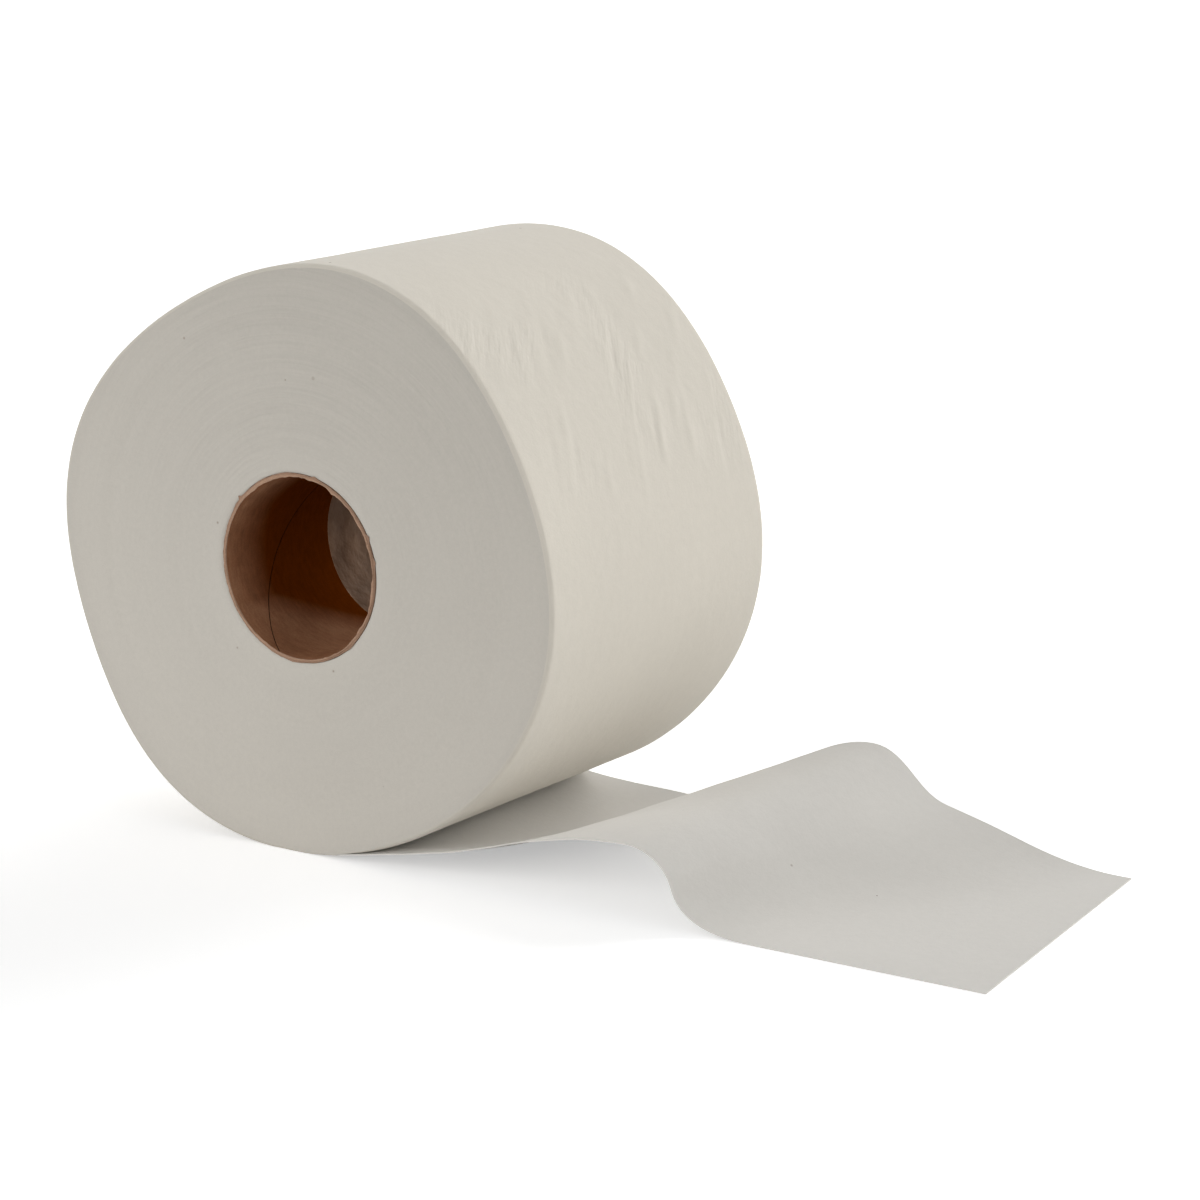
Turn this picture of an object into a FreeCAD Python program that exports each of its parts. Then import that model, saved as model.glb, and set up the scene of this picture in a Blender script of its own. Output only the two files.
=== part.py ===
import FreeCAD, Part

import math
import os

# Toilet paper roll with its loose end run out along the surface it lies on.
# Millimetres. The origin is the centre of the tube's mouth in the front end face,
# +Y runs along the winding axis into the roll, +X points to the loose end, +Z is up.

# Wound paper
ROLL_RADIUS = 70.7            # mean outside radius of the winding
ROLL_WIDTH = 90.0             # width of the paper, and of the roll
WEB = 0.3                     # thickness of one turn of soft two-ply paper
FLAT_DEPTH = 0.3              # how far the soft roll is pressed flat where it rests

# The winding is a little out of round: swells by how often they go round,
# each with its height and the angle of a peak (degrees)
SWELLS = {1: (0.66, 73.4), 2: (1.05, 25.7), 3: (0.29, -52.3), 4: (1.38, -20.9), 5: (0.40, 11.8), 6: (0.20, -6.9)}
OUTLINE_ARCS = 26

# Turns on the end faces: bands that dish inwards as they grow and step back out
BAND_EDGES = (38.0, 58.0)
BAND_DEPTH = 0.25
BAND_STEP = 1.6               # radial width of each step

# Paperboard tube: short, only in the front end of the roll
TUBE_RADIUS = 22.4            # outside radius
TUBE_WALL = 0.8
TUBE_LENGTH = 39.0
TUBE_SEAT = 0.1               # paper stands off the tube by this much

# Butt seam of the spiral-wound tube, a shallow groove on its inside
SEAM_PITCH = 98.4
SEAM_START = 254.2            # angle at the front mouth (degrees)
SEAM_WIDTH = 0.7
SEAM_DEPTH = 0.25
SEAM_MARGIN = 3.0             # plain rim left at each end of the tube

# Loose end: where it leaves the roll, and how it is let down to the surface
LEAVE_X = 10.0                # last point where it still follows the roll
CROTCH_X = 18.0               # where the gap above it opens
TANGENT_REACH = 0.36          # tangents reach this share of the way to the next knot

# Three lines along the underside of the loose end. Each droops by some degrees from the way
# it leaves the roll, and then has a climb, a crest, a fall and a landing, by place along X
# from the roll's axis, height above the surface and angle (degrees)
FRONT_EDGE = {"droop": 0.0, "climb": (52.8, 10.1, 15.0), "crest": (90.9, 17.3), "fall": (102.9, 9.2, -74.0),
              "landing": 127.0, "end": 181.5}
MIDDLE_LINE = {"droop": 0.0, "climb": (49.2, 2.4, 14.0), "crest": (96.5, 20.3), "fall": (113.0, 9.7, -44.0),
               "landing": 149.0, "end": 176.5}
BACK_EDGE = {"droop": 18.0, "climb": (52.0, 0.7, -3.5), "crest": (102.7, 21.8), "fall": (123.0, 9.8, -13.0),
             "landing": 169.0, "end": 171.5}

AXIS_POINT = FreeCAD.Vector(0, 0, 0)
AXIS = FreeCAD.Vector(0, 1, 0)


def outline_radius(angle):
    # outside of the last whole turn, with its swells
    swells = sum(height * math.cos(times * (angle - math.radians(peak))) for times, (height, peak) in SWELLS.items())
    return ROLL_RADIUS + swells


def at(angle, radius):
    return radius * math.cos(angle), radius * math.sin(angle)


def outline(angle):
    return at(angle, outline_radius(angle))


def solve(test, low, high):
    # the value between low and high where test changes sign, in degrees on the way in
    low = math.radians(low)
    high = math.radians(high)
    rising = test(high) > test(low)
    for _ in range(60):
        middle = (low + high) / 2
        if (test(middle) > 0) == rising:
            high = middle
        else:
            low = middle
    return (low + high) / 2


FLOOR_Z = min(outline(math.radians(degree))[1] for degree in range(360)) + FLAT_DEPTH


def under_height(x):
    # outside of the last turn near the bottom, as a height above the surface
    angle = solve(lambda a: outline(a)[0] - x, -120, -30)
    return outline(angle)[1] - FLOOR_Z


def leave_slope():
    step = 0.01
    return (under_height(LEAVE_X + step) - under_height(LEAVE_X - step)) / (2 * step)


CROTCH_HEIGHT = under_height(LEAVE_X) + leave_slope() * (CROTCH_X - LEAVE_X)


def vector(x, y, z):
    return FreeCAD.Vector(x, y, z)


def line(a, b):
    return Part.LineSegment(vector(*a), vector(*b)).toShape()


def arcs(points):
    # arcs, each through three points that follow one another
    return [Part.Arc(*[vector(*p) for p in points[i:i + 3]]).toShape() for i in range(0, len(points) - 2, 2)]


def turned(profile, y=0.0, way=1):
    # a closed profile of radii and depths, turned about the roll's axis
    points = [vector(radius, y + way * depth, 0) for radius, depth in profile]
    face = Part.Face(Part.makePolygon(points + points[:1]))
    return face.revolve(AXIS_POINT, AXIS, 360)


def turn_radius(angle, first):
    # the winding grows by one thickness over its last turn
    return outline_radius(angle) - WEB * (1 - (angle - first) / (2 * math.pi))


def wound_body():
    first = solve(lambda a: at(a, outline_radius(a) - WEB)[0] - CROTCH_X, -120, -30)
    last = solve(lambda a: at(a, turn_radius(a, first))[1] - FLOOR_Z, 210, 266)
    steps = 2 * OUTLINE_ARCS
    turn = []
    for i in range(steps + 1):
        angle = first + (last - first) * i / steps
        x, z = at(angle, turn_radius(angle, first))
        turn.append((x, 0, z))
    flat_end = (outline(solve(lambda a: outline(a)[1] - FLOOR_Z, -91, -60))[0], 0, FLOOR_Z)
    leave = (LEAVE_X, 0, FLOOR_Z + under_height(LEAVE_X))
    halfway = (flat_end[0] + LEAVE_X) / 2
    follow = [flat_end, (halfway, 0, FLOOR_Z + under_height(halfway)), leave]
    crotch = (CROTCH_X, 0, FLOOR_Z + CROTCH_HEIGHT)
    edges = arcs(turn) + [line(turn[-1], flat_end)] + arcs(follow) + [line(leave, crotch), line(crotch, turn[0])]
    face = Part.Face(Part.Wire(edges))
    return face.extrude(AXIS * ROLL_WIDTH)


def underside(edge):
    # knots of one line of the loose end, from the roll to the landing
    landing = (edge["landing"], 0.0, 0.0)
    root = (CROTCH_X, CROTCH_HEIGHT, math.degrees(math.atan(leave_slope())) - edge["droop"])
    return [root, edge["climb"], (*edge["crest"], 0.0), edge["fall"], landing]


def topside(knots):
    # the same knots moved out by the paper's thickness, the root one straight up
    moved = [(knots[0][0], knots[0][1] + WEB, knots[0][2])]
    for x, height, angle in knots[1:]:
        tilt = math.radians(angle)
        moved.append((x - WEB * math.sin(tilt), height + WEB * math.cos(tilt), angle))
    return moved


def stretch(a, b, y):
    # smooth edge from knot a to knot b, along both their angles
    reach = TANGENT_REACH * math.dist(a[:2], b[:2])
    poles = [(x, h) for x, h in (
        a[:2],
        (a[0] + reach * math.cos(math.radians(a[2])), a[1] + reach * math.sin(math.radians(a[2]))),
        (b[0] - reach * math.cos(math.radians(b[2])), b[1] - reach * math.sin(math.radians(b[2]))),
        b[:2],
    )]
    curve = Part.BezierCurve()
    curve.setPoles([vector(x, y, FLOOR_Z + h) for x, h in poles])
    return curve.toShape()


def section(edge, y):
    # one closed section of the loose end
    low = underside(edge)
    high = topside(low)
    end = edge["end"]
    low_landing, low_end, high_end, high_landing = [
        (x, y, FLOOR_Z + h) for x, h in ((low[-1][0], 0.0), (end, 0.0), (end, WEB), (low[-1][0], WEB))]
    root = [(knots[0][0], y, FLOOR_Z + knots[0][1]) for knots in (high, low)]
    edges = [stretch(a, b, y) for a, b in zip(low, low[1:])]
    edges += [line(low_landing, low_end), line(low_end, high_end), line(high_end, high_landing)]
    edges += [stretch(a, b, y) for a, b in zip(high, high[1:])][::-1]
    edges.append(line(*root))
    return Part.Wire(edges)


def loose_end():
    sections = [section(FRONT_EDGE, 0.0), section(MIDDLE_LINE, ROLL_WIDTH / 2), section(BACK_EDGE, ROLL_WIDTH)]
    return Part.makeLoft(sections, True, False)


def dished_face(y, way):
    # what the turns leave out of one end face
    outside = -1.0
    profile = [(TUBE_RADIUS, outside), (TUBE_RADIUS, 0.0)]
    for edge in BAND_EDGES:
        profile += [(edge, BAND_DEPTH), (edge + BAND_STEP, 0.0)]
    profile.append((BAND_EDGES[-1] + BAND_STEP, outside))
    return turned(profile, y, way)


def tissue_roll():
    bore = Part.makeCylinder(TUBE_RADIUS + TUBE_SEAT, ROLL_WIDTH + 2, AXIS * -1, AXIS)
    faces = [dished_face(0.0, 1), dished_face(ROLL_WIDTH, -1)]
    return wound_body().fuse(loose_end()).cut([bore] + faces)


def tube():
    inner = TUBE_RADIUS - TUBE_WALL
    return turned([(inner, 0), (TUBE_RADIUS, 0), (TUBE_RADIUS, TUBE_LENGTH), (inner, TUBE_LENGTH)])


def seam():
    # a V groove along a helix on the tube's inside
    inner = TUBE_RADIUS - TUBE_WALL
    half = SEAM_WIDTH / 2
    helix = Part.makeHelix(SEAM_PITCH, TUBE_LENGTH - 2 * SEAM_MARGIN, inner)
    corners = [vector(inner - half, 0, -half), vector(inner + SEAM_DEPTH, 0, 0), vector(inner - half, 0, half)]
    groove = Part.Wire(helix).makePipeShell([Part.makePolygon(corners + corners[:1])], True, True)
    # the helix climbs along +Z: it is laid along +Y and turned to its place
    groove.rotate(AXIS_POINT, vector(1, 0, 0), -90)
    groove.translate(AXIS * SEAM_MARGIN)
    groove.rotate(AXIS_POINT, AXIS, 360 * SEAM_MARGIN / SEAM_PITCH - SEAM_START)
    return groove


def core():
    return tube().cut(seam())


os.makedirs("parts", exist_ok=True)
for name, shape in (("tissue_roll", tissue_roll()), ("core", core())):
    solid = shape.removeSplitter()
    print(name, "solids", len(solid.Solids), "valid", solid.isValid(), "volume", round(solid.Volume, 1))
    solid.exportStep(f"parts/{name}.step")
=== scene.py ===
import math

import bmesh
import bpy
import numpy as np
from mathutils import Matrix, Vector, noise


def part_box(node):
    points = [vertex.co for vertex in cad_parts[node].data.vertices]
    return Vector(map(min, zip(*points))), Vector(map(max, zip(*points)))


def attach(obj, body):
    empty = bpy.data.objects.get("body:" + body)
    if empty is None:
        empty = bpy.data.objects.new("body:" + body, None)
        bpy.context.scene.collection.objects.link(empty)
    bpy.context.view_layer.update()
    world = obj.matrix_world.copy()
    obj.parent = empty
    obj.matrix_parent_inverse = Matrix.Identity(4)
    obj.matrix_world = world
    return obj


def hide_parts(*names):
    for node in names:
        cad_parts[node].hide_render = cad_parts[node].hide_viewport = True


# Looks of the toilet paper roll. Metres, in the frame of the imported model: the origin is the
# centre of the tube's mouth, +Y runs along the winding axis, +X to the loose end, +Z up.

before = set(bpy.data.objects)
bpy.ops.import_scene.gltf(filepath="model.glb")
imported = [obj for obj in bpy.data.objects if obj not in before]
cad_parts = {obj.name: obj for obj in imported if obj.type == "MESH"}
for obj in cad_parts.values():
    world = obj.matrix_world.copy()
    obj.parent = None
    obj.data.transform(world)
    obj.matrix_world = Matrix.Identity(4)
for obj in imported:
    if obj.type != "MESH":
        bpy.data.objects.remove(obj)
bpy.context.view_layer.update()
MM = 0.001

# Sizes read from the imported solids
paper_low, paper_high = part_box("tissue_roll")
tube_low, tube_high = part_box("core")
FLOOR_Z = paper_low.z
ROLL_WIDTH = paper_high.y
TUBE_RADIUS = tube_high.x
TUBE_LENGTH = tube_high.y

# Sizes of the winding
ROLL_RADIUS = 70.7 * MM       # mean radius of its outline
# swells of the outline, by how often they go round: height, and the angle of a peak (degrees)
SWELLS = {1: (0.66 * MM, 73.4), 2: (1.05 * MM, 25.7), 3: (0.29 * MM, -52.3),
          4: (1.38 * MM, -20.9), 5: (0.40 * MM, 11.8), 6: (0.20 * MM, -6.9)}
WEB = 0.3 * MM                # thickness of one turn

# Turns on the end faces: bands that dish inwards as they grow and step back out
BORE_RADIUS = TUBE_RADIUS + 0.1 * MM
BAND_EDGES = (38.0 * MM, 58.0 * MM)
BAND_DEPTH = 0.25 * MM
BAND_STEP = 1.6 * MM          # radial width of each step

# Paperboard tube
TUBE_WALL = 0.8 * MM
SEAM_PITCH = 98.4 * MM
SEAM_START = 254.2            # angle at the front mouth (degrees)
SEAM_DEPTH = 0.2 * MM

# Loose end
LEAVE_X = 10.0 * MM           # last point where it still follows the roll
CROTCH_X = 18.0 * MM          # where the gap above it opens
TANGENT_REACH = 0.36          # tangents reach this share of the way to the next knot
# three lines of its underside: each droops by some degrees from the way it leaves the roll, and
# then has a climb, a crest, a fall and a landing, by place along X, height (mm) and angle (degrees)
FRONT_EDGE = {"droop": 0.0, "climb": (52.8, 10.1, 15.0),
              "crest": (90.9, 17.3, 0.0), "fall": (102.9, 9.2, -74.0), "landing": 127.0, "end": 181.5}
MIDDLE_LINE = {"droop": 0.0, "climb": (49.2, 2.4, 14.0),
               "crest": (96.5, 20.3, 0.0), "fall": (113.0, 9.7, -44.0), "landing": 149.0, "end": 176.5}
BACK_EDGE = {"droop": 18.0, "climb": (52.0, 0.7, -3.5),
             "crest": (102.7, 21.8, 0.0), "fall": (123.0, 9.8, -13.0), "landing": 169.0, "end": 171.5}

# Mesh density
AROUND = 360                  # points round the winding
STRETCH_POINTS = (8, 22, 28, 14, 22, 22)    # points along each stretch of the loose end
STATIONS = 106                # rows across the width, besides those of the soft rims
RIM = 0.9 * MM                # radius of the softened rims of the winding
RIM_ROWS = (0.0, 0.05, 0.18, 0.4, 0.68)    # rows within the rim, as shares of it
BORE_ROWS = 16

rng = np.random.default_rng(7)


# Outline of the winding

def outline_radius(angle):
    radius = ROLL_RADIUS
    for times, (height, peak) in SWELLS.items():
        radius = radius + height * np.cos(times * (angle - math.radians(peak)))
    return radius


def angle_at(x):
    # where the outline passes a place along X at the bottom of the roll
    low, high = math.radians(-120), math.radians(-30)
    for _ in range(60):
        middle = (low + high) / 2
        if outline_radius(middle) * math.cos(middle) > x:
            high = middle
        else:
            low = middle
    return low


LEAVE_ANGLE = angle_at(LEAVE_X)


def under_height(x):
    # outside of the last turn near the bottom, as a height above the surface
    angle = angle_at(x)
    return outline_radius(angle) * math.sin(angle) - FLOOR_Z


def leave_slope():
    step = 0.01 * MM
    return (under_height(LEAVE_X + step) - under_height(LEAVE_X - step)) / (2 * step)


CROTCH_HEIGHT = under_height(LEAVE_X) + leave_slope() * (CROTCH_X - LEAVE_X)


# Relief of the wound side: soft slanted wrinkles where the last turn is slack, and unevenness

WRINKLES = 46
WRINKLE_ANGLES = (17.0, 60.0)         # where they lie, round the winding (degrees)
WRINKLE_DEPTHS = (6 * MM, 82 * MM)    # and across the width
WRINKLE_LENGTHS = (3.5 * MM, 9 * MM)
WRINKLE_WIDTHS = (0.9 * MM, 1.6 * MM)
WRINKLE_HEIGHTS = (0.06 * MM, 0.18 * MM)
WRINKLE_SLANTS = (9.0, 50.0)          # from the way the paper runs, at the lowest and at the highest
WRINKLE_STRAY = 7.0                   # and how far each strays from that (degrees)
UNEVEN = (0.10 * MM, 22 * MM)         # height and size of the slight unevenness of the side
ROUGH = (0.03 * MM, 6 * MM)           # and of a finer one
FREE_FROM = 14                        # points from the leaving place over which the relief sets in


def draw_wrinkles():
    rows = []
    for _ in range(WRINKLES):
        angle = rng.uniform(*WRINKLE_ANGLES)
        slant = np.interp(angle, WRINKLE_ANGLES, WRINKLE_SLANTS) + rng.uniform(-WRINKLE_STRAY, WRINKLE_STRAY)
        rows.append((
            math.radians(angle) * ROLL_RADIUS,
            rng.uniform(*WRINKLE_DEPTHS),
            rng.uniform(*WRINKLE_LENGTHS),
            rng.uniform(*WRINKLE_WIDTHS),
            rng.uniform(*WRINKLE_HEIGHTS) * rng.choice((-0.7, 1.0)),
            math.radians(slant),
        ))
    return rows


def wrinkle_relief(angle, y, rows):
    # height of the wrinkles at each angle (a row) and each depth (a column)
    along = (angle * ROLL_RADIUS)[None, :]
    across = y[:, None]
    relief = np.zeros((len(y), len(angle)))
    for place, depth, length, width, height, slant in rows:
        u = along - place
        v = across - depth
        run = u * math.cos(slant) + v * math.sin(slant)
        off = v * math.cos(slant) - u * math.sin(slant)
        relief += height * np.exp(-(run / length) ** 2 - (off / width) ** 2)
    return relief


def smooth_noise(x, y, z, scale):
    # Perlin noise at each point, in about -1 to 1
    places = zip(x.ravel(), y.ravel(), z.ravel())
    flat = np.array([noise.noise((a * scale, b * scale, c * scale)) for a, b, c in places])
    return flat.reshape(x.shape)


# Loose end: underside lines, and the surface between them

def underside(edge):
    # knots of one line, from the roll to the landing
    root = (CROTCH_X, CROTCH_HEIGHT, math.atan(leave_slope()) - math.radians(edge["droop"]))
    inner = []
    for knot in ("climb", "crest", "fall"):
        x, height, angle = edge[knot]
        inner.append((x * MM, height * MM, math.radians(angle)))
    landing = (edge["landing"] * MM, 0.0, 0.0)
    return [root, *inner, landing]


def stretch(a, b, count):
    # points from knot a towards knot b on a smooth curve along both their angles, without b
    reach = TANGENT_REACH * math.dist(a[:2], b[:2])
    poles = np.array((
        a[:2],
        (a[0] + reach * math.cos(a[2]), a[1] + reach * math.sin(a[2])),
        (b[0] - reach * math.cos(b[2]), b[1] - reach * math.sin(b[2])),
        b[:2],
    ))
    t = (np.arange(count) / count)[:, None]
    shares = ((1 - t) ** 3, 3 * t * (1 - t) ** 2, 3 * t ** 2 * (1 - t), t ** 3)
    return sum(share * pole for share, pole in zip(shares, poles))


def straight(a, b, count, last=False):
    t = (np.arange(count + last) / count)[:, None]
    return np.array(a) * (1 - t) + np.array(b) * t


def edge_line(edge):
    # one line of the underside, as places along X and heights above the surface
    knots = underside(edge)
    parts = [straight((LEAVE_X, under_height(LEAVE_X)), knots[0][:2], STRETCH_POINTS[0])]
    for a, b, count in zip(knots, knots[1:], STRETCH_POINTS[1:]):
        parts.append(stretch(a, b, count))
    parts.append(straight(knots[-1][:2], (edge["end"] * MM, 0.0), STRETCH_POINTS[-1], last=True))
    return np.concatenate(parts)


SHEET_LINES = [edge_line(edge) for edge in (FRONT_EDGE, MIDDLE_LINE, BACK_EDGE)]
SHEET_POINTS = len(SHEET_LINES[0])
SHEET_WAVE = 0.35 * MM        # soft unevenness of the loose end
SHEET_WAVE_SIZE = 30 * MM
SHEET_RIPPLE_SIZE = 11 * MM
LANDED_LIFT = 0.12 * MM       # how far it lifts off the surface here and there
WAVE_FROM = 25 * MM           # distance from the roll over which the unevenness sets in
LANDED_BELOW = 4 * MM         # height below which it is held down


def underside_at(y):
    # between the three lines, by a parabola across the width
    w = y / ROLL_WIDTH
    front = (1 - w) * (1 - 2 * w)
    middle = 4 * w * (1 - w)
    back = w * (2 * w - 1)
    return front * SHEET_LINES[0] + middle * SHEET_LINES[1] + back * SHEET_LINES[2]


def sheet_rows(y):
    # underside and topside of the loose end, as arrays by row, point, and (x, height)
    low = np.array([underside_at(v) for v in y])
    slope = np.gradient(low, axis=1)
    slope /= np.linalg.norm(slope, axis=2, keepdims=True)
    normal = np.stack((-slope[..., 1], slope[..., 0]), axis=2)
    normal[:, 0] = (0.0, 1.0)
    across = np.repeat(y[:, None], low.shape[1], axis=1)
    wave = smooth_noise(low[..., 0], across, low[..., 1], 1 / SHEET_WAVE_SIZE)
    wave += 0.4 * smooth_noise(low[..., 0], across, low[..., 1], 1 / SHEET_RIPPLE_SIZE)
    hold = np.clip((low[..., 0] - CROTCH_X) / WAVE_FROM, 0, 1) * SHEET_WAVE
    aloft = np.clip(low[..., 1] / LANDED_BELOW, 0, 1)
    lift = wave * hold * aloft + (1 - aloft) * LANDED_LIFT * np.clip(wave, 0, 1) * (hold > 0)
    low = low + normal * lift[..., None]
    low[..., 1] = np.maximum(low[..., 1], 0.0)
    return low, low + normal * WEB


# The paper: one closed web, wound and run out

def end_relief(radius):
    # depth of the end face at a radius: the dished bands of turns
    depth = np.zeros_like(radius)
    inner = BORE_RADIUS
    for edge in BAND_EDGES:
        rise = (radius >= inner) & (radius < edge)
        depth[rise] = BAND_DEPTH * (radius[rise] - inner) / (edge - inner)
        step = (radius >= edge) & (radius < edge + BAND_STEP)
        depth[step] = BAND_DEPTH * (1 - (radius[step] - edge) / BAND_STEP)
        inner = edge + BAND_STEP
    return depth


def end_radii():
    # radii of the rings on an end face, out to the last band, close together at each step
    marks = [BORE_RADIUS, BORE_RADIUS + 0.5 * MM]
    for edge in BAND_EDGES:
        span = edge - marks[-1]
        count = round(span / RING_SPACE)
        marks += [marks[-1] + span * (i + 1) / count for i in range(count)]
        marks.append(edge + BAND_STEP)
    return marks


OUTER_RINGS = (0.2, 0.45, 0.7, 0.86, 0.95)    # rings from the last band to the rim, as shares of the way
TURN_RELIEF = 0.05 * MM                       # how far single turns stand out of the end faces
RIM_SHADE = 2.4 * MM                          # how far the painted rim shade reaches on an end face
ROUND_SHADE = 0.3 * MM                        # and on the rounded edge of the side
BORE_SINK = 0.3 * MM                          # how far the first turn is drawn in beside the tube
RING_SPACE = 1.45 * MM                        # between the rings of an end face
RING_WAVE = 0.03 * MM                         # how far each ring wavers
SETTLED = (0.5, 0.25, 0.1, 0.05)              # shares of the relief left on the last rings before the rim
BORE_HOLD = 0.97                              # share of the tube's length that holds the bore round
CRUMPLE = 0.9 * MM                            # how far the innermost turn sags in behind the tube
SLACK_FROM = 6 * MM                           # distance past the tube over which it does
SLACK_TO = 5 * MM                             # and before the back face


def lateral_rows(y):
    # the winding's outside, as arrays by row and point: x and z
    steps = np.arange(AROUND + 1)
    angle = LEAVE_ANGLE + 2 * math.pi * steps / AROUND
    growth = WEB * (1 - steps / AROUND)
    radius = np.repeat((outline_radius(angle) - growth)[None, :], len(y), axis=0)
    free = np.clip(np.minimum(steps, AROUND - steps) / FREE_FROM, 0, 1)
    turned = (angle + math.pi) % (2 * math.pi) - math.pi
    relief = wrinkle_relief(turned, y, draw_wrinkles())
    x = np.cos(angle) * np.ones((len(y), 1)) * ROLL_RADIUS
    z = np.sin(angle) * np.ones((len(y), 1)) * ROLL_RADIUS
    across = np.repeat(y[:, None], AROUND + 1, axis=1)
    relief += UNEVEN[0] * smooth_noise(x, across, z, 1 / UNEVEN[1])
    relief += ROUGH[0] * smooth_noise(x, across * 2.2, z, 1 / ROUGH[1])
    edge = np.minimum(y, ROLL_WIDTH - y)
    inset = np.where(edge < RIM, RIM - np.sqrt(np.maximum(RIM ** 2 - (RIM - edge) ** 2, 0)), 0.0)
    radius = radius + (relief - inset[:, None]) * free
    x = radius * np.cos(angle)
    z = np.maximum(radius * np.sin(angle), FLOOR_Z)
    return x, z


def face_outwards(mesh):
    work = bmesh.new()
    work.from_mesh(mesh)
    bmesh.ops.recalc_face_normals(work, faces=work.faces)
    work.to_mesh(mesh)
    work.free()


def add_object(name, points, faces, slots, materials, sharp_above=38.0):
    mesh = bpy.data.meshes.new(name)
    mesh.from_pydata(points, [], faces)
    face_outwards(mesh)
    for material in materials:
        mesh.materials.append(material)
    mesh.polygons.foreach_set("material_index", slots)
    mesh.polygons.foreach_set("use_smooth", [True] * len(faces))
    mesh.set_sharp_from_angle(angle=math.radians(sharp_above))
    mesh.update()
    piece = bpy.data.objects.new(name, mesh)
    bpy.context.scene.collection.objects.link(piece)
    return piece


def rim_share(distance, reach):
    # how near a place is to the rim, from 0 to 1
    return np.exp(-(distance / reach) ** 2)


RING_ANGLE = LEAVE_ANGLE + 2 * math.pi * np.arange(AROUND) / AROUND
SIDE, END_FACE, BORE_WALL, LOOSE = range(4)   # material slots of the paper


class Web:
    """Collects the paper's points, with how near each is to a rim, and its faces with their slots."""

    def __init__(self):
        self.points = []
        self.at_rim = []
        self.faces = []
        self.slots = []

    def add_points(self, places, shares):
        # gives the numbers of the new points
        first = len(self.points)
        self.points += places
        self.at_rim += shares
        return list(range(first, len(self.points)))

    def add_face(self, corners, slot):
        self.faces.append(corners)
        self.slots.append(slot)


def add_outside(web, y):
    # the wound side and both faces of the loose end: one closed loop of points in each row
    x, z = lateral_rows(y)
    low, high = sheet_rows(y)
    # the loose end starts on the winding's own first and last point
    loop_x = np.concatenate((x, low[:, 1:, 0], high[:, :0:-1, 0]), axis=1)
    loop_z = np.concatenate((z, FLOOR_Z + low[:, 1:, 1], FLOOR_Z + high[:, :0:-1, 1]), axis=1)
    around = loop_x.shape[1]
    loops = []
    for j, v in enumerate(y):
        places = [(loop_x[j, i], v, loop_z[j, i]) for i in range(around)]
        share = rim_share(min(v, ROLL_WIDTH - v), ROUND_SHADE)
        loops.append(web.add_points(places, [share * (i <= AROUND) for i in range(around)]))
    for a, b in zip(loops, loops[1:]):
        for i in range(around):
            k = (i + 1) % around
            web.add_face((a[i], a[k], b[k], b[i]), SIDE if i < AROUND else LOOSE)
    return loops, np.hypot(x[:, :-1], z[:, :-1])


def add_end_face(web, loop, rim_radius, front):
    # rings of turns, from the bore out to the winding's rim; gives the innermost ring
    last = end_radii()
    radii = [np.full(AROUND, r) for r in last]
    radii += [last[-1] + (rim_radius - last[-1]) * share for share in OUTER_RINGS]
    stand_out = rng.uniform(-1, 1, len(radii)) * TURN_RELIEF
    stand_out[0] = BORE_SINK
    stand_out[-len(SETTLED):] *= SETTLED
    rings = []
    for number, radius in enumerate(radii):
        depth = end_relief(radius) + stand_out[number] + RING_WAVE * np.cos(2 * RING_ANGLE + number)
        depth = np.maximum(depth, 0.0)
        level = depth if front else ROLL_WIDTH - depth
        places = [(r * math.cos(a), v, r * math.sin(a)) for r, a, v in zip(radius, RING_ANGLE, level)]
        rings.append(web.add_points(places, list(rim_share(rim_radius - radius, RIM_SHADE))))
    for a, b in zip(rings, rings[1:]):
        for i in range(AROUND):
            k = (i + 1) % AROUND
            web.add_face((a[i], a[k], b[k], b[i]), END_FACE)
    outermost = rings[-1]
    for i in range(AROUND):
        k = (i + 1) % AROUND
        web.add_face((outermost[i], outermost[k], loop[i + 1], loop[i]), END_FACE)
    web.add_face((loop[AROUND], outermost[0], loop[0]), END_FACE)
    return rings[0]


def add_thin_edge(web, loop):
    # between the underside and the topside of the loose end
    under = loop[AROUND:AROUND + SHEET_POINTS]
    over = [loop[0]] + loop[:-SHEET_POINTS:-1]
    for s in range(SHEET_POINTS - 1):
        web.add_face((under[s], under[s + 1], over[s + 1], over[s]), LOOSE)


def add_bore(web, front_ring, back_ring):
    # smooth round the tube, and slack behind it
    levels = np.concatenate(([TUBE_LENGTH * BORE_HOLD], np.linspace(TUBE_LENGTH, ROLL_WIDTH, BORE_ROWS)[:-1]))
    rings = [front_ring]
    for v in levels:
        slack = min(1.0, max(0.0, (v - TUBE_LENGTH) / SLACK_FROM)) * min(1.0, (ROLL_WIDTH - v) / SLACK_TO)
        places = []
        for a in RING_ANGLE:
            c, s = math.cos(a), math.sin(a)
            fold = noise.noise((c * 2.2, s * 2.2, v / (12 * MM)))
            fold += 0.5 * noise.noise((c * 5.0, s * 5.0, v / (6 * MM) + 9))
            r = BORE_RADIUS - CRUMPLE * slack * (0.45 + 0.55 * fold)
            places.append((r * c, v, r * s))
        rings.append(web.add_points(places, [0.0] * AROUND))
    rings.append(back_ring)
    for a, b in zip(rings, rings[1:]):
        for i in range(AROUND):
            k = (i + 1) % AROUND
            web.add_face((a[k], a[i], b[i], b[k]), BORE_WALL)


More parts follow.
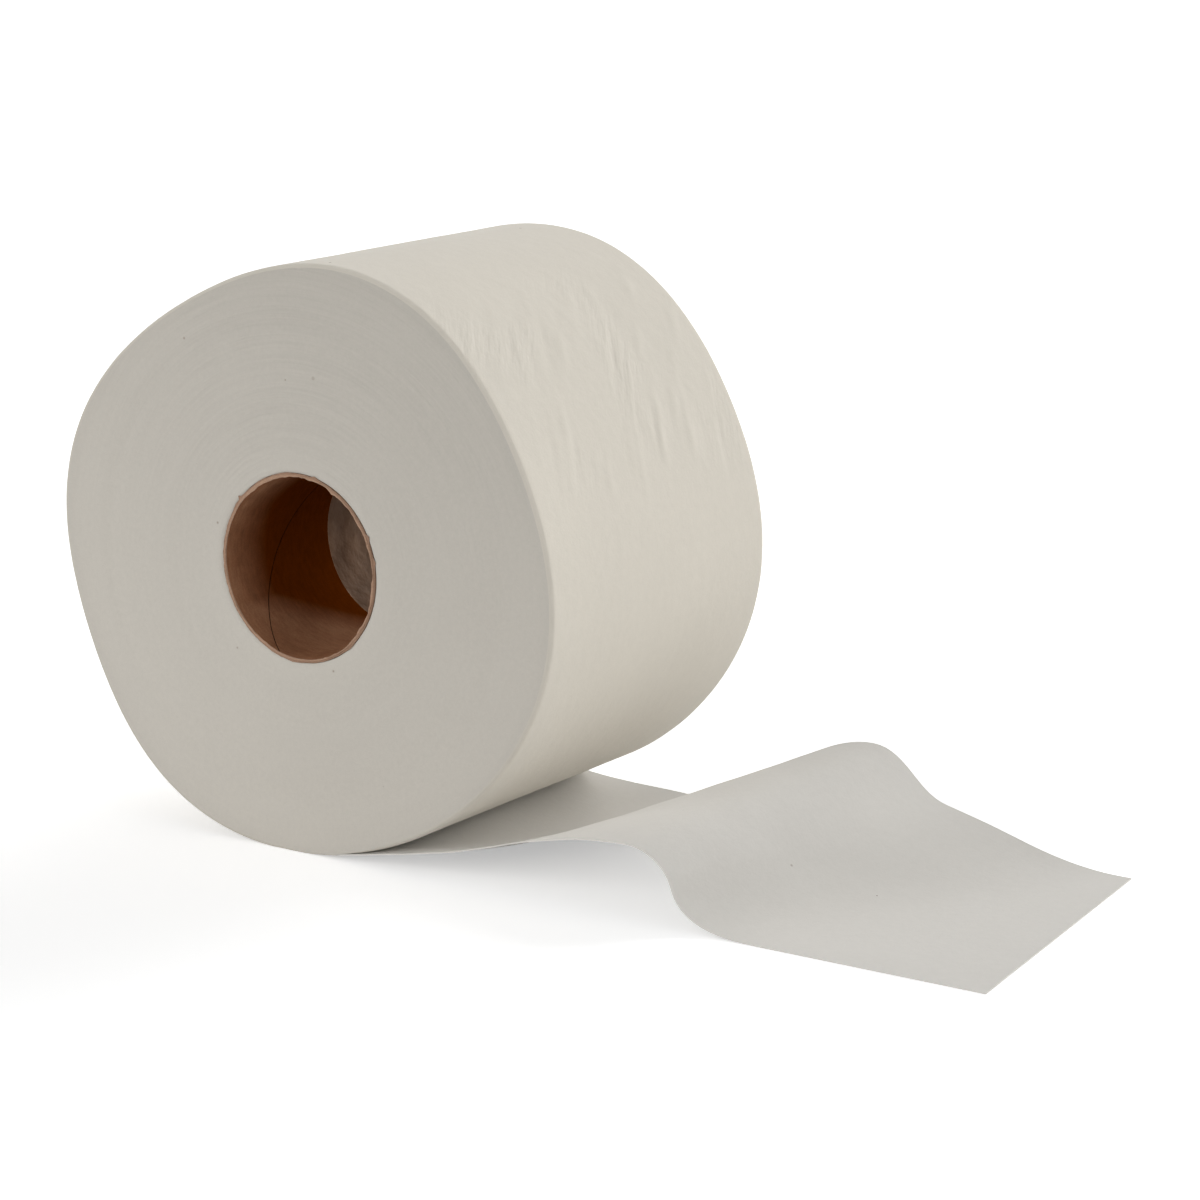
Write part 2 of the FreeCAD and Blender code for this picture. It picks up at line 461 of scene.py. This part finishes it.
def make_paper(materials):
    rim_rows = np.array(RIM_ROWS) * RIM
    middle = np.linspace(RIM, ROLL_WIDTH - RIM, STATIONS)
    y = np.concatenate((rim_rows, middle, (ROLL_WIDTH - rim_rows)[::-1]))
    web = Web()
    loops, rim_radius = add_outside(web, y)
    inner_rings = []
    for row, front in ((0, True), (-1, False)):
        inner_rings.append(add_end_face(web, loops[row], rim_radius[row], front))
        add_thin_edge(web, loops[row])
    add_bore(web, *inner_rings)
    paper = add_object("paper", web.points, web.faces, web.slots, materials)
    paper.data.attributes.new("rim", "FLOAT", "POINT").data.foreach_set("value", web.at_rim)
    return paper


# The paperboard tube

TUBE_INNER = TUBE_RADIUS - TUBE_WALL
TUBE_AROUND = 300
TUBE_ROWS = 56
SEAM_COLUMNS = (-0.7, -0.42, -0.19, 0.0, 0.19, 0.42, 0.7)     # mm from the seam
SEAM_PROFILE = (0.0, 0.0, 0.15, 1.0, 0.1, -0.4, -0.2)         # share of its depth at each
SEAM_SPLIT = (2, 4)                                           # columns that its gap lies between
RIM_WAVE = 0.18 * MM
RIM_ROUND = 0.16 * MM
RIM_STAND_OUT = 0.12 * MM     # how far the mouth stands out of the end face
MOUTH_SHARES = (1.0, 0.85, 0.7, 0.55, 0.45, 0.3, 0.15, 0.0)   # rows over the mouth, as shares of the wall
FAR_SHARES = (0.0, 0.3, 0.5, 0.7, 1.0)                        # and over the far rim
INSIDE_MARGIN = 0.25 * MM     # where the rows of the inside end, from either rim
OUTSIDE_MARGIN = 0.35 * MM    # and those of the outside, from the mouth
OUTSIDE_ROWS = 12
SEAM_FADE = 1.5 * MM          # distance from a rim over which the seam fades
WALL_WAVE = 0.05 * MM
PLY_GROOVE = 0.14 * MM
PLY_PLACE = 0.55              # where the plies part, as a share of the wall
PLY_WIDTH = 0.12
RAGGED = 0.12 * MM            # unevenness of the mouth's outline
TORN = 0.14 * MM              # and a finer one
PRESSED = 0.20 * MM           # unevenness of its inner edge
FIBRE_RISE = 0.35             # share of their reach by which torn fibres stand out of the end face
# torn fibres at the mouth: angle, reach out over the paper, half width (degrees)
NICKS = ((138.5, 0.70 * MM, 1.0), (25.3, 0.80 * MM, 1.8), (10.3, 0.60 * MM, 2.4), (76.3, 0.55 * MM, 2.0),
         (98.0, 0.22 * MM, 7.0), (-48.0, 0.34 * MM, 4.5), (-96.0, 0.18 * MM, 9.0))
# and where the mouth's inner edge is pressed inwards
BURRS = ((-3.0, 0.34 * MM, 2.2), (-10.0, 0.36 * MM, 5.5), (-34.0, 0.26 * MM, 6.0), (60.0, 0.28 * MM, 5.0),
         (34.0, 0.20 * MM, 3.5), (122.0, 0.26 * MM, 24.0), (-118.0, 0.16 * MM, 8.0))


def reach_at(angle, places):
    degrees = math.degrees(angle)
    reach = 0.0
    for place, height, half in places:
        off = (degrees - place + 180) % 360 - 180
        reach += height * math.exp(-(off / half) ** 2)
    return reach


def mouth_shape(angle, share):
    # how far the mouth reaches outwards and how far fibres stand up, at a share of the wall
    c, s = math.cos(angle), math.sin(angle)
    reach = reach_at(angle, NICKS) * max(0.0, share - 0.4) / 0.6
    ragged = RAGGED * noise.noise((c * 6, s * 6, 5.0))
    ragged += TORN * noise.noise((c * 24, s * 24, 9.0))
    burr = reach_at(angle, BURRS) + PRESSED * noise.noise((c * 16, s * 16, 2.0))
    return reach + ragged - burr * max(0.0, 0.5 - share) / 0.5, FIBRE_RISE * reach


def rim_sink(angle, share):
    # how far a rim lies back: rounded, uneven, and with its plies a little parted, most at the right
    c, s = math.cos(angle), math.sin(angle)
    ply = PLY_GROOVE * (1.1 + c) * math.exp(-((share - PLY_PLACE) / PLY_WIDTH) ** 2)
    round_off = RIM_ROUND * (2 * share - 1) ** 4
    wave = RIM_WAVE * noise.noise((c * 9, s * 9, share * 2.0 + 3))
    wave += 0.5 * RIM_WAVE * noise.noise((c * 30, s * 30, share * 3.0))
    return ply + round_off + wave


def wall_place(kind, value, column, depth):
    # one point of the wall: value is a depth along the tube, or a share of the wall on a rim
    v = value if kind in ("inside", "outside") else (TUBE_LENGTH if kind == "far" else 0.0)
    angle = math.radians(SEAM_START) - 2 * math.pi * v / SEAM_PITCH + column
    c, s = math.cos(angle), math.sin(angle)
    if kind == "inside":
        fade = min(1.0, v / SEAM_FADE, (TUBE_LENGTH - v) / SEAM_FADE)
        r = TUBE_INNER + SEAM_DEPTH * depth * max(fade, 0.25)
        r += WALL_WAVE * noise.noise((c * 3, s * 3, v / (8 * MM)))
    elif kind == "outside":
        r = TUBE_RADIUS
    elif kind == "far":
        r = TUBE_INNER + TUBE_WALL * value
        v = TUBE_LENGTH - max(rim_sink(angle, value), 0.0)
    else:
        outwards, rise = mouth_shape(angle, value)
        r = TUBE_INNER + TUBE_WALL * value + outwards
        v = rim_sink(angle, value) - rise - RIM_STAND_OUT
    return r * c, v, r * s


def make_tube(materials):
    wall, edge, seam = range(3)
    seam_half = SEAM_COLUMNS[-1] * MM / TUBE_INNER
    rest = np.linspace(seam_half, 2 * math.pi - seam_half, TUBE_AROUND + 1)[1:-1]
    columns = [c * MM / TUBE_INNER for c in SEAM_COLUMNS] + list(rest)
    groove = list(SEAM_PROFILE) + [0.0] * len(rest)
    # closed profile of the wall: out along the inside, round the far rim, back along the outside
    last = TUBE_LENGTH - INSIDE_MARGIN
    path = [("inside", v) for v in np.linspace(INSIDE_MARGIN, last, TUBE_ROWS)]
    path += [("far", share) for share in FAR_SHARES]
    path += [("outside", v) for v in np.linspace(last, OUTSIDE_MARGIN, OUTSIDE_ROWS)]
    path += [("near", share) for share in MOUTH_SHARES]
    points = [wall_place(*step, *column) for step in path for column in zip(columns, groove)]
    count = len(columns)
    faces = []
    slots = []
    for j in range(len(path)):
        n = (j + 1) % len(path)
        rim = path[j][0] in ("near", "far") or path[n][0] in ("near", "far")
        for i in range(count):
            k = (i + 1) % count
            faces.append((j * count + i, j * count + k, n * count + k, n * count + i))
            split = path[j][0] == path[n][0] == "inside" and SEAM_SPLIT[0] <= i < SEAM_SPLIT[1]
            slots.append(seam if split else edge if rim else wall)
    return add_object("paperboard_tube", points, faces, slots, materials, sharp_above=60.0)


# Node trees

class Tree:
    """Adds nodes to a material: each call gives a node, with values or links on its inputs."""

    def __init__(self, name):
        self.material = bpy.data.materials.new(name)
        self.material.use_nodes = True
        self.nodes = self.material.node_tree.nodes
        self.links = self.material.node_tree.links
        self.shader = self.nodes["Principled BSDF"]
        self.output = self.nodes["Material Output"]

    def add(self, kind, inputs=None, **settings):
        node = self.nodes.new(kind)
        for key, value in settings.items():
            setattr(node, key, value)
        for key, value in (inputs or {}).items():
            self.set(node.inputs[key], value)
        return node

    def set(self, socket, value):
        if isinstance(value, bpy.types.NodeSocket):
            self.links.new(value, socket)
        else:
            socket.default_value = value

    def math(self, operation, *values):
        return self.add("ShaderNodeMath", dict(enumerate(values)), operation=operation).outputs[0]

    def times(self, first, *others):
        # product of two or more values
        for other in others:
            first = self.math("MULTIPLY", first, other)
        return first

    def join(self, x, y, z):
        return self.add("ShaderNodeCombineXYZ", {"X": x, "Y": y, "Z": z}).outputs[0]

    def noise(self, vector, scale, detail=2.0, roughness=0.5):
        inputs = {"Vector": vector, "Scale": scale, "Detail": detail, "Roughness": roughness}
        return self.add("ShaderNodeTexNoise", inputs).outputs["Fac"]

    def span(self, value, low, high, to_low, to_high):
        inputs = {"Value": value, "From Min": low, "From Max": high, "To Min": to_low, "To Max": to_high}
        return self.add("ShaderNodeMapRange", inputs).outputs["Result"]

    def tone(self, value, low, high):
        # the usual spread of a noise, 0.3 to 0.7, made into a factor
        return self.span(value, 0.3, 0.7, low, high)

    def mix(self, share, a, b, blend="MIX"):
        node = self.add("ShaderNodeMix", data_type="RGBA", blend_type=blend)
        for key, value in ((0, share), (6, a), (7, b)):
            self.set(node.inputs[key], value)
        return node.outputs[2]

    def shade(self, colour, factor):
        # a colour made lighter or darker by a grey factor
        grey = self.add("ShaderNodeCombineColor", {"Red": factor, "Green": factor, "Blue": factor}).outputs[0]
        return self.mix(1.0, colour, grey, "MULTIPLY")

    def bump(self, height, distance, under=None, strength=1.0):
        inputs = {"Height": height, "Distance": distance, "Strength": strength}
        if under is not None:
            inputs["Normal"] = under
        return self.add("ShaderNodeBump", inputs).outputs["Normal"]

    def place(self):
        # position on the piece, whose object sits at the origin
        return self.add("ShaderNodeTexCoord").outputs["Object"]

    def polar(self, place):
        # radius from the winding axis, the unit direction round it, and the depth along it
        parts = self.add("ShaderNodeSeparateXYZ", {"Vector": place})
        x, y, z = parts.outputs[0], parts.outputs[1], parts.outputs[2]
        radius = self.math("SQRT", self.math("ADD", self.times(x, x), self.times(z, z)))
        return radius, self.math("DIVIDE", x, radius), self.math("DIVIDE", z, radius), y


def srgb(red, green, blue):
    # linear colour from 8-bit sRGB
    values = []
    for value in (red, green, blue):
        share = value / 255
        values.append(share / 12.92 if share <= 0.04045 else ((share + 0.055) / 1.055) ** 2.4)
    return (*values, 1.0)


# Colours
TISSUE = srgb(212, 206, 194)
# painted shade: the end faces get a darker copy of the wound paper, as they catch less light than the side
TISSUE_END_SHADED = srgb(189, 184, 175)
TISSUE_LOOSE_LIT = srgb(210, 207, 201)    # painted light: a lighter, cooler copy of the wound paper, for the light that comes through one thickness
TISSUE_BORE_SHADED = srgb(129, 101, 77)      # painted shade and painted reflection: the paper deep behind the tube, dark and browned by light thrown off the tube
KRAFT = srgb(162, 118, 88)
KRAFT_DARK = srgb(139, 97, 70)
KRAFT_DEEP_SHADE = srgb(97, 44, 4)          # painted shade: the tube's inside away from its mouth, darker and richer
KRAFT_EDGE = srgb(170, 138, 116)
SEAM_SHADE = srgb(46, 24, 12)
FLECK = srgb(120, 96, 78)


PAPER_FINISH = {"Roughness": 0.95, "Specular IOR Level": 0.12, "Sheen Weight": 0.12, "Sheen Roughness": 0.6}
KRAFT_FINISH = {"Roughness": 0.9, "Specular IOR Level": 0.0}


def finish(tree, colour, normal, values):
    looks = {"Base Color": colour, "Normal": normal, **values}
    for key, value in looks.items():
        tree.set(tree.shader.inputs[key], value)
    return tree.material


def flecks(tree, place, scale, share, size):
    # a few tiny dots: cells of which only a small share holds one
    inputs = {"Vector": place, "Scale": scale}
    cells = tree.add("ShaderNodeTexVoronoi", inputs)
    near = tree.math("LESS_THAN", cells.outputs["Distance"], size)
    chosen = tree.add("ShaderNodeSeparateColor", {"Color": cells.outputs["Color"]}).outputs[0]
    return tree.times(near, tree.math("LESS_THAN", chosen, share))


# Specks of fibre that stand out by themselves: where they are (mm) and how large
END_SPECKS = ((-32.7, 0.0, 51.1, 0.42), (-2.8, 0.0, 44.0, 0.32), (-30.0, 0.0, 21.5, 0.3),
              (-23.9, 0.0, 8.1, 0.45), (-18.9, 0.0, -21.5, 0.40), (9.8, 0.0, -23.2, 0.42),
              (23.8, 0.0, -48.8, 0.3))
LOOSE_SPECKS = ((113.3, 34.8, -61.2, 0.45),)
SPECK_SHARE = 0.55


def speckled(tree, place, colour, specks):
    # the colour with specks on it
    share = 0.0
    for x, y, z, size in specks:
        ends = {0: place, 1: (x * MM, y * MM, z * MM)}
        away = tree.add("ShaderNodeVectorMath", ends, operation="DISTANCE").outputs["Value"]
        near = tree.span(away, 0.3 * size * MM, size * MM, SPECK_SHARE, 0.0)
        share = tree.math("MAXIMUM", share, near)
    return tree.mix(share, colour, FLECK)


# darkest painted shade on the rims of the wound side and of the end faces
SIDE_RIM_PAINTED_SHADE = 0.79
END_RIM_PAINTED_SHADE = 0.97


def rim_painted_shade(tree, darkest):
    # painted shade: the soft rims of the winding are darker than its faces, which tones down the light on
    # their rounded edge
    near = tree.add("ShaderNodeAttribute", attribute_name="rim").outputs["Fac"]
    return tree.span(near, 0.0, 1.0, 1.0, darkest)


def web_parts(name, base):
    # soft mottling and fibres, which the wound side and the loose end share
    tree = Tree(name)
    place = tree.place()
    clouds = tree.noise(place, 26.0, 3.0)
    mottle = tree.noise(place, 480.0, 3.0, 0.6)
    fibres = tree.noise(place, 1900.0, 3.0, 0.6)
    tone = tree.times(
        tree.span(clouds, 0.25, 0.75, 0.98, 1.018),
        tree.tone(mottle, 0.988, 1.012),
        tree.tone(fibres, 0.988, 1.010),
        rim_painted_shade(tree, SIDE_RIM_PAINTED_SHADE),
    )
    colour = tree.mix(flecks(tree, place, 260.0, 0.002, 0.08), tree.shade(base, tone), FLECK)
    normal = tree.bump(mottle, 0.05 * MM)
    return tree, place, colour, tree.bump(fibres, 0.03 * MM, normal)


# Fine creases of the slack last turn: they start along the paper's run and lean over as it rises
CREASE_FROM = math.radians(8.0)       # where they start to lean, round the winding
CREASE_BEND = 44.0 * MM               # how fast they do, by the square of the angle past that
CREASED = (math.radians(13.0), math.radians(66.0))


def tissue_side():
    tree, place, colour, normal = web_parts("tissue_side", TISSUE)
    _, c, s, y = tree.polar(place)
    angle = tree.math("ARCTAN2", s, c)
    past = tree.math("SUBTRACT", angle, CREASE_FROM)
    off = tree.math("SUBTRACT", y, tree.times(past, past, CREASE_BEND))
    lines = tree.noise(tree.join(tree.times(off, 340.0), tree.times(angle, 8.0), 0.0), 1.0, 2.0, 0.5)
    start = tree.span(angle, CREASED[0], CREASED[0] + 0.2, 0.0, 1.0)
    stop = tree.span(angle, CREASED[1] - 0.25, CREASED[1], 1.0, 0.0)
    patches = tree.span(tree.noise(place, 42.0, 1.0), 0.45, 0.62, 0.05, 1.0)
    creases = tree.times(tree.math("SUBTRACT", lines, 0.5), tree.times(start, stop, patches))
    return finish(tree, colour, tree.bump(creases, 0.38 * MM, normal), PAPER_FINISH)


def tissue_loose():
    tree, place, colour, normal = web_parts("tissue_loose", TISSUE_LOOSE_LIT)
    return finish(tree, speckled(tree, place, colour, LOOSE_SPECKS), normal, PAPER_FINISH)


def tissue_end():
    tree = Tree("tissue_end")
    place = tree.place()
    radius, c, s, _ = tree.polar(place)
    rings = tree.join(tree.times(c, 1.6), tree.times(radius, 1500.0), tree.times(s, 1.6))
    # the edges of the turns show here and there, most of all above the tube
    above = tree.span(s, 0.1, 0.9, 0.2, 1.0)
    patches = tree.span(tree.noise(place, 60.0, 2.0), 0.35, 0.65, 0.4, 1.0)
    turns = tree.math("SUBTRACT", tree.noise(rings, 1.0, 4.0, 0.7), 0.5)
    turns = tree.times(turns, tree.times(above, patches))
    fibres = tree.noise(place, 2300.0, 3.0, 0.65)
    clouds = tree.noise(place, 22.0, 2.0)
    mottle = tree.noise(place, 800.0, 3.0, 0.6)
    tone = tree.times(
        tree.span(turns, -0.2, 0.2, 0.94, 1.055),
        tree.tone(fibres, 0.975, 1.02),
        tree.tone(mottle, 0.978, 1.018),
        tree.tone(clouds, 0.985, 1.01),
        rim_painted_shade(tree, END_RIM_PAINTED_SHADE),
    )
    # painted light and shade: the end face is lighter towards the bottom left and darker towards the top
    # right
    painted_light_slope = tree.math("ADD", tree.times(c, 0.55), tree.times(s, 0.83))
    painted_light_slope = tree.times(painted_light_slope, tree.span(radius, 0.0, 60 * MM, 0.0, 1.0))
    near_core = tree.span(radius, BORE_RADIUS, 30 * MM, 1.025, 1.0)
    tone = tree.times(tone, tree.span(painted_light_slope, -1.0, 1.0, 1.10, 0.90), near_core)
    dust = flecks(tree, place, 190.0, 0.012, 0.10)
    around_core = tree.span(radius, 27 * MM, 36 * MM, 1.0, 0.25)
    colour = tree.mix(tree.times(dust, around_core), tree.shade(TISSUE_END_SHADED, tone), FLECK)
    colour = speckled(tree, place, colour, END_SPECKS)
    normal = tree.bump(turns, 0.16 * MM)
    normal = tree.bump(fibres, 0.05 * MM, normal)
    return finish(tree, colour, normal, PAPER_FINISH)


def tissue_bore():
    tree = Tree("tissue_bore")
    place = tree.place()
    clouds = tree.noise(place, 170.0, 3.0)
    fibres = tree.noise(place, 1900.0, 3.0, 0.6)
    tone = tree.times(tree.tone(clouds, 0.85, 1.14), tree.tone(fibres, 0.95, 1.04))
    normal = tree.bump(clouds, 0.9 * MM)
    normal = tree.bump(fibres, 0.05 * MM, normal)
    # painted shade: the paper behind the tube takes its dark, brownish shaded colour
    return finish(tree, tree.shade(TISSUE_BORE_SHADED, tone), normal, PAPER_FINISH)


# Painted light and shade on the tube's inside: lighter near the mouth and along the bottom, where light falls
# in, and darker and richer deeper in
LIT_BOTTOM_REACH = 27.0 * MM      # how much further in the painted light reaches at the bottom
LIT_TOP_REACH = 8.0 * MM          # and at the top
SHADE_FADE_ENDS = (1.0 * MM, 15.0 * MM)


def kraft_wall():
    tree = Tree("kraft_wall")
    place = tree.place()
    _, c, s, y = tree.polar(place)
    # the fibres run with the strip that the tube is wound from
    run = tree.join(tree.times(c, 7.0), tree.times(y, 1000.0), tree.times(s, 7.0))
    grain = tree.noise(run, 1.0, 3.0, 0.65)
    clouds = tree.noise(place, 90.0, 3.0)
    fine = tree.noise(place, 2600.0, 2.0)
    colour = tree.mix(tree.tone(clouds, 0.0, 1.0), KRAFT, KRAFT_DARK)
    # painted light reaches further in along the bottom and a little at the top, painted shade lies deeper in
    bottom = tree.span(s, -1.0, -0.5, LIT_BOTTOM_REACH, 0.0)
    top = tree.span(s, 0.5, 0.95, 0.0, LIT_TOP_REACH)
    inside = tree.math("SUBTRACT", y, tree.math("ADD", bottom, top))
    colour = tree.mix(tree.span(inside, *SHADE_FADE_ENDS, 0.0, 1.0), colour, KRAFT_DEEP_SHADE)
    tone = tree.times(tree.tone(grain, 0.84, 1.12), tree.tone(fine, 0.90, 1.08))
    normal = tree.bump(grain, 0.05 * MM)
    normal = tree.bump(fine, 0.03 * MM, normal)
    return finish(tree, tree.shade(colour, tone), normal, KRAFT_FINISH)


def kraft_seam():
    tree = Tree("kraft_seam")
    fine = tree.noise(tree.place(), 1800.0, 2.0)
    colour = tree.shade(SEAM_SHADE, tree.tone(fine, 0.8, 1.2))
    return finish(tree, colour, tree.bump(fine, 0.03 * MM), KRAFT_FINISH)


def kraft_edge():
    tree = Tree("kraft_edge")
    place = tree.place()
    radius, c, s, _ = tree.polar(place)
    plies = tree.join(tree.times(c, 5.0), tree.times(radius, 5200.0), tree.times(s, 5.0))
    layers = tree.noise(plies, 1.0, 3.0, 0.6)
    fine = tree.noise(place, 2200.0, 3.0, 0.6)
    # the outermost ply is darker: partly its own tone, partly painted shade of the gap beside the paper
    outer_ply_and_gap_shade = tree.span(radius, TUBE_RADIUS - 0.42 * MM, TUBE_RADIUS - 0.30 * MM, 1.04, 0.84)
    tone = tree.times(tree.tone(layers, 0.82, 1.08), tree.tone(fine, 0.86, 1.08), outer_ply_and_gap_shade)
    normal = tree.bump(layers, 0.09 * MM)
    normal = tree.bump(fine, 0.05 * MM, normal)
    return finish(tree, tree.shade(KRAFT_EDGE, tone), normal, KRAFT_FINISH)


# The studio: floor, surroundings, lamps and camera

FLOOR_HALF = 9.0
FLOOR_TONE = 0.92
FLOOR_GLOW = 0.42             # added on camera rays, so that the floor shows near white


def make_floor():
    mesh = bpy.data.meshes.new("floor")
    h = FLOOR_HALF
    corners = [(-h, -h, FLOOR_Z), (h, -h, FLOOR_Z), (h, h, FLOOR_Z), (-h, h, FLOOR_Z)]
    mesh.from_pydata(corners, [], [(0, 1, 2, 3)])
    tree = Tree("pale_floor")
    tree.shader.inputs["Base Color"].default_value = (FLOOR_TONE, FLOOR_TONE, FLOOR_TONE, 1.0)
    tree.shader.inputs["Roughness"].default_value = 1.0
    tree.shader.inputs["Specular IOR Level"].default_value = 0.0
    rays = tree.add("ShaderNodeLightPath")
    seen = tree.math("MAXIMUM", rays.outputs["Is Camera Ray"], rays.outputs["Is Glossy Ray"])
    seen = tree.math("MAXIMUM", seen, rays.outputs["Is Transmission Ray"])
    glow = tree.add("ShaderNodeEmission", {"Strength": tree.times(seen, FLOOR_GLOW)})
    both = tree.add("ShaderNodeAddShader", {0: tree.shader.outputs[0], 1: glow.outputs[0]})
    tree.links.new(both.outputs[0], tree.output.inputs["Surface"])
    mesh.materials.append(tree.material)
    floor = bpy.data.objects.new("floor", mesh)
    bpy.context.scene.collection.objects.link(floor)


AMBIENT = 0.38
SUNS = {"front": (1.82, -115.0), "right": (0.79, 0.0), "back": (3.84, 80.0)}    # strength, azimuth
SUN_ELEVATION = 12.0
SUN_SPREAD = 50.0


def make_world():
    world = bpy.data.worlds.new("studio")
    bpy.context.scene.world = world
    world.use_nodes = True
    nodes, links = world.node_tree.nodes, world.node_tree.links
    light = nodes["Background"]
    light.inputs["Color"].default_value = (1.0, 1.0, 1.0, 1.0)
    light.inputs["Strength"].default_value = AMBIENT
    backdrop = nodes.new("ShaderNodeBackground")
    backdrop.inputs["Color"].default_value = (1.0, 1.0, 1.0, 1.0)
    rays = nodes.new("ShaderNodeLightPath")
    seen = rays.outputs["Is Camera Ray"]
    for name in ("Is Glossy Ray", "Is Transmission Ray"):
        either = nodes.new("ShaderNodeMath")
        either.operation = "MAXIMUM"
        links.new(seen, either.inputs[0])
        links.new(rays.outputs[name], either.inputs[1])
        seen = either.outputs[0]
    mix = nodes.new("ShaderNodeMixShader")
    links.new(seen, mix.inputs[0])
    links.new(light.outputs[0], mix.inputs[1])
    links.new(backdrop.outputs[0], mix.inputs[2])
    links.new(mix.outputs[0], nodes["World Output"].inputs["Surface"])


def add_sun(name, strength, azimuth):
    # azimuth in degrees from +X towards +Y, to where the light comes from
    lamp = bpy.data.lights.new(name, "SUN")
    lamp.energy = strength
    lamp.angle = math.radians(SUN_SPREAD)
    sun = bpy.data.objects.new(name, lamp)
    sun.rotation_euler = (0.0, math.radians(90 - SUN_ELEVATION), math.radians(azimuth))
    bpy.context.scene.collection.objects.link(sun)


# Camera, from the outlines of the end face, the tube and the loose end in the photograph
CAMERA_PLACE = (518.35 * MM, -647.48 * MM, 183.68 * MM)
CAMERA_PITCH = 13.024         # degrees down
CAMERA_YAW = 33.838           # degrees to the left of +Y
CAMERA_LENS = 109.51          # on a sensor 36 wide


def make_camera():
    camera = bpy.data.cameras.new("camera")
    camera.lens = CAMERA_LENS
    camera.sensor_width = 36.0
    camera.clip_start = 0.01
    camera.clip_end = 100.0
    eye = bpy.data.objects.new("camera", camera)
    eye.location = CAMERA_PLACE
    eye.rotation_euler = (math.radians(90 - CAMERA_PITCH), 0.0, math.radians(CAMERA_YAW))
    bpy.context.scene.collection.objects.link(eye)
    bpy.context.scene.camera = eye


make_camera()
make_floor()
make_world()
for name, (strength, azimuth) in SUNS.items():
    add_sun(name, strength, azimuth)
bpy.context.scene.view_settings.view_transform = "Standard"

paper = make_paper([tissue_side(), tissue_end(), tissue_bore(), tissue_loose()])
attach(paper, "root")
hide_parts("tissue_roll")

tube = make_tube([kraft_wall(), kraft_edge(), kraft_seam()])
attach(tube, "root")
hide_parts("core")
